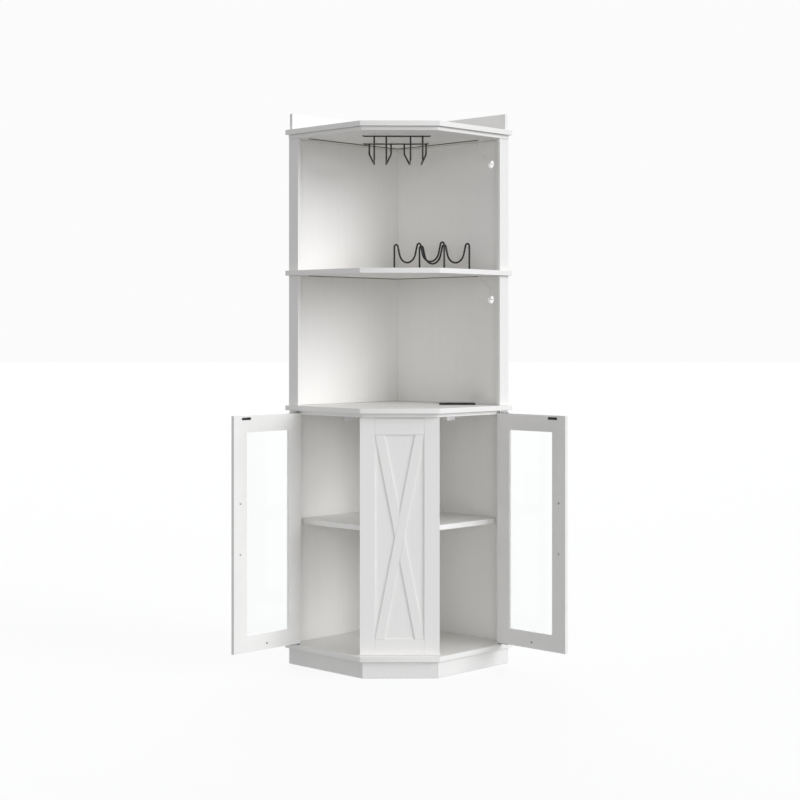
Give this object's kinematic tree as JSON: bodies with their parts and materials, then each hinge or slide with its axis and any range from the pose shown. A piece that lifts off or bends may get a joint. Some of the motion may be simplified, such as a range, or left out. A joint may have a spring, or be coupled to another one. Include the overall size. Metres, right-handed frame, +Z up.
{
  "type": "corner bar cabinet",
  "caption": "White corner bar cabinet with open bays above a counter, glazed doors below, wire racks for stemware and bottles, light strips and a power outlet.",
  "frame": {"origin": "on the floor, halfway between the front edge of the boards and the back corner, in the plane of symmetry of the carcass", "axes": "+Z up, -Y towards the room, +X to the right as seen from the room"},
  "size_m": [1.0544, 0.6174, 1.8],
  "materials": {
    "white_board": "white laminate on particle board, satin",
    "clear_glass": "clear",
    "black_wire": "black powder coat, satin",
    "black_plastic": "black moulded, fine texture",
    "white_plastic": "white moulded, smooth",
    "grey_steel": "zinc plated",
    "strip_plastic": "grey flexible strip with a pale lead"
  },
  "bodies": {
    "cabinet": {"bottom_board": "white_board", "counter_liner": "white_board", "counter_board": "white_board", "middle_shelf": "white_board", "top_liner": "white_board", "top_board": "white_board", "lower_shelf": "white_board", "lower_wall_left": "white_board", "lower_wall_right": "white_board", "lower_post_left": "white_board", "lower_post_right": "white_board", "middle_wall_left": "white_board", "middle_wall_right": "white_board", "middle_post_left": "white_board", "middle_post_right": "white_board", "upper_wall_left": "white_board", "upper_wall_right": "white_board", "upper_post_left": "white_board", "upper_post_right": "white_board", "guard_left": "white_board", "guard_right": "white_board", "plinth_front": "white_board", "plinth_left": "white_board", "plinth_right": "white_board", "plinth_rear_left": "white_board", "plinth_rear_right": "white_board", "panel_back": "white_board", "panel_stile_left": "white_board", "panel_stile_right": "white_board", "panel_bottom_rail": "white_board", "panel_top_rail": "white_board", "panel_brace_rising": "white_board", "panel_brace_falling": "white_board", "shelf_pin_front_left": "grey_steel", "shelf_pin_front_right": "grey_steel", "shelf_pin_rear_left": "grey_steel", "shelf_pin_rear_right": "grey_steel", "catch_left": "white_plastic", "catch_right": "white_plastic", "stemware_rack": "black_wire", "bottle_rack": "black_wire", "light_strip_top": "strip_plastic", "light_strip_middle": "strip_plastic", "power_outlet": "black_plastic"},
    "door_left": {"door_left_frame": "white_board", "door_left_glass": "clear_glass", "pivot_lower_left": "grey_steel", "pivot_upper_left": "grey_steel", "handle_left": "black_wire", "handle_screw_lower_left": "grey_steel", "handle_screw_upper_left": "grey_steel", "strike_plate_left": "black_wire"},
    "door_right": {"door_right_frame": "white_board", "door_right_glass": "clear_glass", "pivot_lower_right": "grey_steel", "pivot_upper_right": "grey_steel", "handle_right": "black_wire", "handle_screw_lower_right": "grey_steel", "handle_screw_upper_right": "grey_steel", "strike_plate_right": "black_wire"}
  },
  "joints": [
    {"name": "door_left_hinge", "type": "hinge", "parent": "cabinet", "child": "door_left", "pos_m": [-0.32859, -0.09665, 0.075], "axis": [0, 0, -1], "range_deg": [-90, 20]},
    {"name": "door_right_hinge", "type": "hinge", "parent": "cabinet", "child": "door_right", "pos_m": [0.32859, -0.09665, 0.075], "axis": [0, 0, 1], "range_deg": [-90, 20]}
  ]
}
